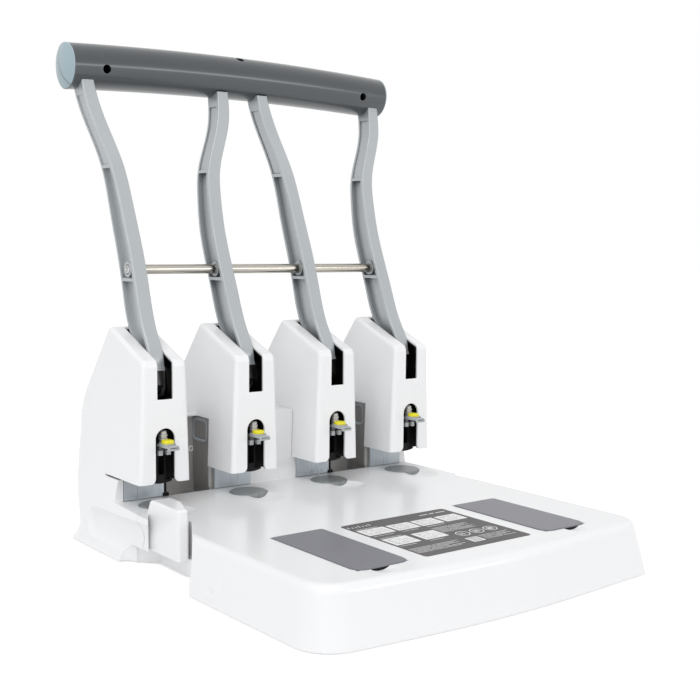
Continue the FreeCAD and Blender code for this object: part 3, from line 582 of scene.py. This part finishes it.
def makeLabelPrint():
    # Plain chart of punched sheets, with rings, rules and thin lines; no words.
    look = {"level": 40.5, "thick": 0.05, "inkThick": 0.05, "corner": 0.8,
            "panels": [(-46.5, -23.0, -154.8, -139.3, 2), (-20.6, -0.2, -154.8, -139.3, 3),
                       (1.8, 22.2, -154.8, -139.3, 4), (24.8, 44.4, -154.8, -139.3, 2),
                       (-46.5, -25.2, -184.2, -166.8, 4), (-20.6, -0.2, -184.2, -166.8, 3)],
            "rings": [(10.6, -186.0), (23.8, -186.0), (36.6, -186.0)], "ringRadius": 5.4, "ringWide": 0.7,
            "sheetsHalf": 2.6, "sheetWide": 0.8, "sheetHalf": 2.4,
            "ruleX": -46.4, "ruleY": -132.0, "ruleTicks": 7, "tickGap": 3.0, "tickWide": 0.8,
            "tickBack": -129.6, "tickLongBack": -128.2,
            "captions": ((19.4, 27.0), (28.6, 33.4), (35.0, 44.0)), "captionY": (-130.4, -129.2),
            "lines": [(-46.0, -26.0, -137.2), (-46.0, -28.0, -158.0), (-20.0, -6.0, -158.0),
                      (2.4, 19.0, -158.0), (-46.0, -27.0, -164.6), (-46.0, -32.0, -187.0),
                      (-20.0, -8.0, -187.0)], "lineHalf": 0.25,
            "blocks": [(1.6, 34.0, -163.6, 7, 2.0), (-46.8, -4.0, -196.2, 6, 2.0),
                       (15.6, 43.0, -196.2, 5, 2.2)], "rowHalf": 0.22, "rowSpace": 0.5,
            "rowEnds": (0.0, 0.12, 0.04, 0.3), "rowBreaks": (0.46, 0.58, 0.38),
            "patch": (2.4, 13.0, -207.0, -196.4), "patchCorner": 0.6, "patchEdge": 1.2, "patchRows": 4,
            "patchRowY": 1.4, "patchRowHigh": 1.2, "patchRowGap": 2.4}
    pale = bmesh.new()
    ink = bmesh.new()
    level = look["level"]
    top = level + look["thick"]
    inkTop = top + look["inkThick"]
    for x0, x1, y0, y1, holes in look["panels"]:
        addSlab(pale, roundedRect(x0, x1, y0, y1, look["corner"]), level, top, spot)
        addPanelInk(ink, (x0, x1, y0, y1), holes, top, inkTop)
    for number, (x, y) in enumerate(look["rings"]):
        radius, sheets = look["ringRadius"], number + 2
        addBand(pale, circle(x, y, radius, 28), circle(x, y, radius - look["ringWide"], 28), level, top, spot)
        for step in range(sheets):  # sheets side by side in a ring
            start = x - look["sheetsHalf"] + 2 * look["sheetsHalf"] * step / sheets
            addBar(pale, start, start + look["sheetWide"], y - look["sheetHalf"], y + look["sheetHalf"],
                   level, top)
    for step in range(look["ruleTicks"]):  # rule along the back edge
        start = look["ruleX"] + look["tickGap"] * step
        back = look["tickBack"] if step % 3 else look["tickLongBack"]
        addBar(pale, start, start + look["tickWide"], look["ruleY"], back, level, top)
    for start, end in look["captions"]:
        addBar(pale, start, end, *look["captionY"], level, top)
    for x0, x1, y in look["lines"]:
        addBar(pale, x0, x1, y - look["lineHalf"], y + look["lineHalf"], level, top)
    for x0, x1, y, rows, gap in look["blocks"]:
        for row in range(rows):
            end = x1 - (x1 - x0) * look["rowEnds"][row % 4]
            middle = x0 + (end - x0) * look["rowBreaks"][row % 3]
            rowY = y - gap * row
            for start, stop in ((x0, middle - look["rowSpace"]), (middle + look["rowSpace"], end)):
                addBar(pale, start, stop, rowY - look["rowHalf"], rowY + look["rowHalf"], level, top)
    x0, x1, y0, y1 = look["patch"]
    addSlab(pale, roundedRect(x0, x1, y0, y1, look["patchCorner"]), level, top, spot)
    for step in range(look["patchRows"]):
        rowY = y0 + look["patchRowY"] + look["patchRowGap"] * step
        addBar(ink, x0 + look["patchEdge"], x1 - look["patchEdge"], rowY, rowY + look["patchRowHigh"],
               top, inkTop)
    newPiece("labelPrint", pale, [printPale], "base")
    newPiece("labelInk", ink, [printInk], "base")


def makeCrossRod():
    # Bright rod that ends just inside the outer levers' bosses.
    look = {"half": 122.7, "radius": 3.9, "chamfer": 0.5, "y": 54.0, "z": 217.5}
    form = bmesh.new()
    half, full, chamfer = look["half"], look["radius"], look["chamfer"]
    stations = ((-half, full - chamfer), (chamfer - half, full), (half - chamfer, full),
                (half, full - chamfer))
    rings = [addLoop(form, circle(0, 0, radius, 40), lambda u, v, w=x: spot(w, look["y"] + u, look["z"] + v))
             for x, radius in stations]
    addStack(form, rings)
    piece = newPiece("crossRodBar", form, [rodSteel], "handle")
    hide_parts("cross_rod")


def makeLeverScrews():
    # Flat screws with a cross recess in the ends of the cross rod, inside the levers' bosses.
    look = {"x": 122.7, "y": 54.0, "z": 217.5, "radius": 3.4, "high": 1.3, "edge": 0.8, "shoulder": 1.1,
            "shoulderDraw": 0.94, "topDraw": 0.86, "arm": 2.0, "slot": 0.45, "deep": 0.9, "floorDraw": 0.7}
    form = bmesh.new()
    for side in (-1, 1):
        def place(u, v, w, side=side):
            return spot(side * (look["x"] + w), look["y"] + u, look["z"] + v)
        radius = look["radius"]
        rings = [(radius, 0.0), (radius, look["edge"]), (radius * look["shoulderDraw"], look["shoulder"]),
                 (radius * look["topDraw"], look["high"])]
        loops = [addLoop(form, circle(0, 0, reach, 24), lambda u, v, w=level: place(u, v, w))
                 for reach, level in rings]
        addStack(form, loops, cap=False)
        form.faces.new(loops[0][::-1])
        arm, slot = look["arm"], look["slot"]
        cross = [(arm, -slot), (arm, slot), (slot, slot), (slot, arm), (-slot, arm), (-slot, slot),
                 (-arm, slot), (-arm, -slot), (-slot, -slot), (-slot, -arm), (slot, -arm), (slot, -slot)]
        rim = addLoop(form, cross, lambda u, v: place(u, v, look["high"]))
        draw = look["floorDraw"]
        floor = addLoop(form, [(u * draw, v * draw) for u, v in cross],
                        lambda u, v: place(u, v, look["high"] - look["deep"]))
        joinLoops(form, rim, floor)
        form.faces.new(floor)
        edges = []
        for loop in (loops[-1], rim):
            for step in range(len(loop)):
                pair = (loop[step], loop[(step + 1) % len(loop)])
                edges.append(form.edges.get(pair) or form.edges.new(pair))
        bmesh.ops.triangle_fill(form, use_beauty=True, edges=edges)
    piece = newPiece("leverScrewHeads", form, [boltZinc], "handle", 30.0)
    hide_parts("lever_screws")


def makeClipTray(form, place):
    # Clear tray with a rim, a lip to pull, two small legs, and a smoky back with a stem.
    look = {"half": 4.8, "front": -13.5, "back": 5.8, "corner": 1.6, "low": 87.0, "top": 88.7, "bevel": 0.3,
            "rim": (-9.6, 3.2), "rimCorner": 2.4, "rimWall": 0.7, "rimInnerCorner": 1.8, "rimSunk": 0.4,
            "rimTop": 89.8, "lipWide": 1.3, "lipLow": 85.4, "lipInto": 0.5, "legs": (1.6, 5.0),
            "lipCorner": 0.5, "footY": (0.6, 3.7), "footZ": (80.0, 83.6), "shinIn": 0.3,
            "shinY": (1.2, 3.7), "shinZ": (83.5, 87.3), "wallY": 3.6, "wallZ": (81.3, 87.2), "small": 0.4,
            "stemRadius": 2.0, "stemZ": 83.5, "stemY": (5.0, 23.0)}
    half, small, wall = look["half"], look["small"], look["rimWall"]
    front, back = look["rim"]
    addSlab(form, roundedRect(-half, half, look["front"], look["back"], look["corner"]), look["low"],
            look["top"], place, 0, look["bevel"])
    addBand(form, roundedRect(-half, half, front, back, look["rimCorner"]),
            roundedRect(-half + wall, half - wall, front + wall, back - wall, look["rimInnerCorner"]),
            look["top"] - look["rimSunk"], look["rimTop"], place)
    addSlab(form, roundedRect(-half, half, look["front"], look["front"] + look["lipWide"], look["lipCorner"]),
            look["lipLow"], look["low"] + look["lipInto"], place)
    for side in (-1, 1):
        low, high = sorted(side * x for x in look["legs"])
        addSlab(form, roundedRect(low, high, *look["footY"], small), *look["footZ"], place)
        addSlab(form, roundedRect(low + look["shinIn"], high - look["shinIn"], *look["shinY"], small),
                *look["shinZ"], place, 1)
    addSlab(form, roundedRect(-half, half, look["wallY"], look["back"], small), *look["wallZ"], place, 1)
    stem = [addLoop(form, circle(0, 0, look["stemRadius"]),
                    lambda u, v, w=depth: place(u, w, look["stemZ"] + v)) for depth in look["stemY"]]
    addStack(form, stem, 1)


def addRings(form, outlines, place):
    # Closed form over (outline, level) pairs.
    loops = [addLoop(form, points, lambda u, v, w=level: place(u, v, w)) for points, level in outlines]
    addStack(form, loops)


def makeClips():
    # A tray, its yellow button and the ringed post behind it, for each tower.
    look = {"padHalf": 4.2, "padFront": -8.3, "padBack": 0.9, "padCorner": 3.2,
            "postX": 0.1, "postY": 3.9, "postRadius": 3.5,
            "padLevels": ((88.6, 0.0), (91.0, 0.0), (91.7, 0.25), (92.1, 0.8), (92.3, 1.7)),
            "postLevels": ((88.5, 0.5), (91.4, 0.5), (91.6, 0.0), (92.6, 0.0), (92.8, 0.6), (94.2, 0.6),
                           (94.4, 0.1), (95.4, 0.1), (95.6, 0.7), (97.6, 0.7), (98.3, 1.3))}
    for tower, x in zip(towers, towerX):
        def place(u, v, w, x=x):
            return spot(x + u, v, w)
        tray = bmesh.new()
        makeClipTray(tray, place)
        piece = newPiece("clipTray_" + tower, tray, [clipClear, clipSmoke], "tab_" + tower)
        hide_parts("clip_" + tower)
        pad = bmesh.new()
        addRings(pad, [(roundedRect(-look["padHalf"] + draw, look["padHalf"] - draw, look["padFront"] + draw,
                                    look["padBack"] - draw, look["padCorner"] - draw, 6), level)
                       for level, draw in look["padLevels"]], place)
        piece = newPiece("padButton_" + tower, pad, [padYellow], "tab_" + tower, 50.0)
        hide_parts("clip_pad_" + tower)
        post = bmesh.new()
        addRings(post, [(circle(look["postX"], look["postY"], look["postRadius"] - draw, 24), level)
                        for level, draw in look["postLevels"]], place)
        newPiece("tabPost_" + tower, post, [frameSteel], "tab_" + tower)


def makeCheekPanels():
    # Pressed panels on the steel cheeks of the two bays, with a beaded round-cornered window.
    look = {"rise": 0.5, "bead": 0.3, "beadWide": 1.0, "floor": 0.08, "slope": 0.9, "y": (39.4, 64.7),
            "z": (41.4, 96.8), "edge": 0.6, "window": (42.8, 63.4, 78.3, 94.6), "corner": 3.6,
            "cheeks": (100.0, 60.0)}
    y0, y1, z0, z1 = look["window"]
    wide, slope, corner = look["beadWide"], look["slope"], look["corner"]
    beadTop = look["rise"] + look["bead"]
    panel = roundedRect(*look["y"], *look["z"], look["edge"], 6)
    window = roundedRect(y0, y1, z0, z1, corner, 6)
    deep = roundedRect(y0 + slope, y1 - slope, z0 + slope, z1 - slope, corner - slope, 6)
    bead = roundedRect(y0 - wide, y1 + wide, z0 - wide, z1 + wide, corner + wide, 6)
    levels = ((panel, 0.0), (panel, look["rise"]), (bead, look["rise"]), (bead, beadTop), (window, beadTop),
              (deep, look["floor"]))
    far, near = look["cheeks"]
    for side, end in ((-1, "Left"), (1, "Right")):
        form = bmesh.new()
        for face, outward in ((side * far, -side), (side * near, side)):
            def place(u, v, w, face=face, outward=outward):
                return spot(face + outward * w, u, v)
            loops = [addLoop(form, points, lambda u, v, w=level: place(u, v, w)) for points, level in levels]
            for number, (first, second) in enumerate(zip(loops, loops[1:])):
                joinLoops(form, first, second, 1 if number >= 2 else 0)
            form.faces.new(loops[-1])
            form.faces.new(loops[0][::-1])
        newPiece("cheekPanel" + end, form, [frameSteel, stopSteel], "base")


def makeWallEyelets():
    # Rings on the back walls of the bays.
    look = {"x": 62.2, "y": 64.9, "z": 69.3, "radius": 1.9, "tube": 0.6, "steps": 28, "sides": 10}
    form = bmesh.new()
    for side in (-1, 1):
        loops = []
        for step in range(look["steps"]):
            turn = 2 * math.pi * step / look["steps"]
            ring = []
            for part in range(look["sides"]):
                roll = 2 * math.pi * part / look["sides"]
                reach = look["radius"] + look["tube"] * math.cos(roll)
                ring.append(form.verts.new(spot(side * look["x"] + reach * math.cos(turn),
                                                look["y"] + look["tube"] * math.sin(roll),
                                                look["z"] + reach * math.sin(turn))))
            loops.append(ring)
        for step in range(len(loops)):
            joinLoops(form, loops[step], loops[(step + 1) % len(loops)])
    newPiece("wallEyelets", form, [eyeletPale], "base")


def makeStopRails():
    # Black rails with a foot, at the ends of two stop plates.
    look = {"offset": 17.8, "wide": 1.4, "y": (34.8, 38.8), "z": (40.6, 59.5), "corner": 0.3, "bevel": 0.2,
            "footWide": 5.0, "footHigh": 2.4, "footProud": 0.8, "footDrop": 0.2, "footCorner": 0.4}
    form = bmesh.new()
    low, high = look["z"]
    front, back = look["y"]
    for x in (towerX[0], towerX[2]):
        start = x + look["offset"]
        rail = roundedRect(start, start + look["wide"], front, back, look["corner"])
        addSlab(form, rail, low, high, spot, 0, look["bevel"])
        middle = start + look["wide"] / 2
        foot = roundedRect(middle - look["footWide"] / 2, middle + look["footWide"] / 2,
                           front - look["footProud"], back, look["footCorner"])
        addSlab(form, foot, low - look["footDrop"], low + look["footHigh"], spot, 0, look["bevel"])
    newPiece("stopRails", form, [guideBlack], "base")


def makeLidShadows():
    # Thin black strips under the front edges of the storage lids, a painted shadow of the lids over the
    # finger dishes.
    look = {"x": (78.5, 95.5), "y": (-216.38, -216.1), "z": (38.5, 40.1), "corner": 0.1}
    for name, side, body in (("lidShadowLeft", -1, "left_lid"), ("lidShadowRight", 1, "right_lid")):
        form = bmesh.new()
        low, high = sorted(side * x for x in look["x"])
        addSlab(form, roundedRect(low, high, *look["y"], look["corner"], 2), *look["z"], spot)
        newPiece(name, form, [guideBlack], body)


def makeLeverShoes():
    # Full-width lower ends of the levers, just above the sills of the towers.
    look = {"half": 6.0, "low": 142.75, "high": 146.6, "front": (10.1, 11.75), "back": 16.5, "corner": 0.8}
    form = bmesh.new()
    for x in towerX:
        rings = []
        for level, front in zip((look["low"], look["high"]), look["front"]):
            points = roundedRect(x - look["half"], x + look["half"], front, look["back"], look["corner"])
            rings.append(addLoop(form, points, lambda u, v, w=level: spot(u, v, w)))
        addStack(form, rings)
    newPiece("leverShoes", form, [leverPaint], "handle")


makeLabelPrint()
makeCrossRod()
makeLeverScrews()
makeLidShadows()
makeLeverShoes()
makeClips()
makeCheekPanels()
makeWallEyelets()
makeStopRails()
print("small pieces made")


def makeFloor():
    # Pale floor that glows a little where it is seen or mirrored, so that it meets the white behind it.
    look = {"size": 16.0, "color": (0.84, 0.84, 0.84), "glow": 0.46}
    half = look["size"] / 2
    mesh = bpy.data.meshes.new("floor")
    corners = [(-half, -half, 0), (half, -half, 0), (half, half, 0), (-half, half, 0)]
    mesh.from_pydata(corners, [], [(0, 1, 2, 3)])
    floor = bpy.data.objects.new("floor", mesh)
    scene.collection.objects.link(floor)
    material = bpy.data.materials.new("floorPale")
    material.use_nodes = True
    tree = material.node_tree
    tree.nodes.clear()
    output = addNode(tree, "ShaderNodeOutputMaterial")
    diffuse = addNode(tree, "ShaderNodeBsdfDiffuse")
    diffuse.inputs["Color"].default_value = (*look["color"], 1.0)
    glow = addNode(tree, "ShaderNodeEmission")
    glow.inputs["Strength"].default_value = look["glow"]
    path = addNode(tree, "ShaderNodeLightPath")
    seen = mathNode(tree, "MAXIMUM", path.outputs["Is Camera Ray"], path.outputs["Is Glossy Ray"])
    seen = mathNode(tree, "MAXIMUM", seen, path.outputs["Is Transmission Ray"])
    both = addNode(tree, "ShaderNodeAddShader")
    tree.links.new(diffuse.outputs[0], both.inputs[0])
    tree.links.new(glow.outputs[0], both.inputs[1])
    mix = addNode(tree, "ShaderNodeMixShader")
    tree.links.new(seen, mix.inputs[0])
    tree.links.new(diffuse.outputs[0], mix.inputs[1])
    tree.links.new(both.outputs[0], mix.inputs[2])
    tree.links.new(mix.outputs[0], output.inputs["Surface"])
    mesh.materials.append(material)


def makeWorld():
    # The surroundings are white where they are seen or mirrored, and dimmer where they only light.
    look = {"fill": 0.70, "fillColor": (0.985, 0.992, 1.0)}
    world = bpy.data.worlds.new("studio")
    scene.world = world
    world.use_nodes = True
    tree = world.node_tree
    tree.nodes.clear()
    output = addNode(tree, "ShaderNodeOutputWorld")
    fill = addNode(tree, "ShaderNodeBackground")
    fill.inputs["Color"].default_value = (*look["fillColor"], 1.0)
    fill.inputs["Strength"].default_value = look["fill"]
    white = addNode(tree, "ShaderNodeBackground")
    white.inputs["Color"].default_value = (1.0, 1.0, 1.0, 1.0)
    path = addNode(tree, "ShaderNodeLightPath")
    seen = mathNode(tree, "MAXIMUM", path.outputs["Is Camera Ray"], path.outputs["Is Glossy Ray"])
    seen = mathNode(tree, "MAXIMUM", seen, path.outputs["Is Transmission Ray"])
    mix = addNode(tree, "ShaderNodeMixShader")
    tree.links.new(seen, mix.inputs[0])
    tree.links.new(fill.outputs[0], mix.inputs[1])
    tree.links.new(white.outputs[0], mix.inputs[2])
    tree.links.new(mix.outputs[0], output.inputs["Surface"])


def makeLamp(name, place, aim, size, power):
    data = bpy.data.lights.new(name, "AREA")
    data.shape = "RECTANGLE"
    data.size, data.size_y = size
    data.energy = power
    lamp = bpy.data.objects.new(name, data)
    scene.collection.objects.link(lamp)
    lamp.location = place
    lamp.rotation_euler = (Vector(aim) - Vector(place)).to_track_quat("-Z", "Y").to_euler()


def makeLights():
    # Soft light from above and from the left, and a strip that draws a streak along the handle tube.
    aim = (0.0, 0.0, 0.15)
    look = {"topSoftbox": {"place": (-0.75, -0.7, 2.0), "aim": aim, "size": (1.4, 1.4), "power": 12.5},
            "frontStrip": {"place": (1.0, -1.8, 0.54), "aim": (0.0, 0.13, 0.386), "size": (0.8, 0.20),
                           "power": 4.0},
            "leftSoftbox": {"place": (-1.8, -1.25, 0.75), "aim": aim, "size": (1.4, 1.4), "power": 8.0}}
    for name, lamp in look.items():
        makeLamp(name, **lamp)


def makeCamera():
    view = {"place": (-0.515881, -0.687567, 0.239501), "yaw": 0.649739, "pitch": 0.094269, "roll": 0.009702,
            "lens": 58.154}
    data = bpy.data.cameras.new("viewCamera")
    data.lens = view["lens"]
    data.sensor_width = 36.0
    data.clip_start = 0.01
    camera = bpy.data.objects.new("viewCamera", data)
    scene.collection.objects.link(camera)
    turn = Matrix.Rotation(-view["yaw"], 4, "Z") @ Matrix.Rotation(math.pi / 2 - view["pitch"], 4, "X")
    turn = turn @ Matrix.Rotation(view["roll"], 4, "Z")
    camera.matrix_world = Matrix.Translation(view["place"]) @ turn
    scene.camera = camera


makeFloor()
makeWorld()
makeLights()
makeCamera()
scene.view_settings.view_transform = "Standard"
print("stage ready")
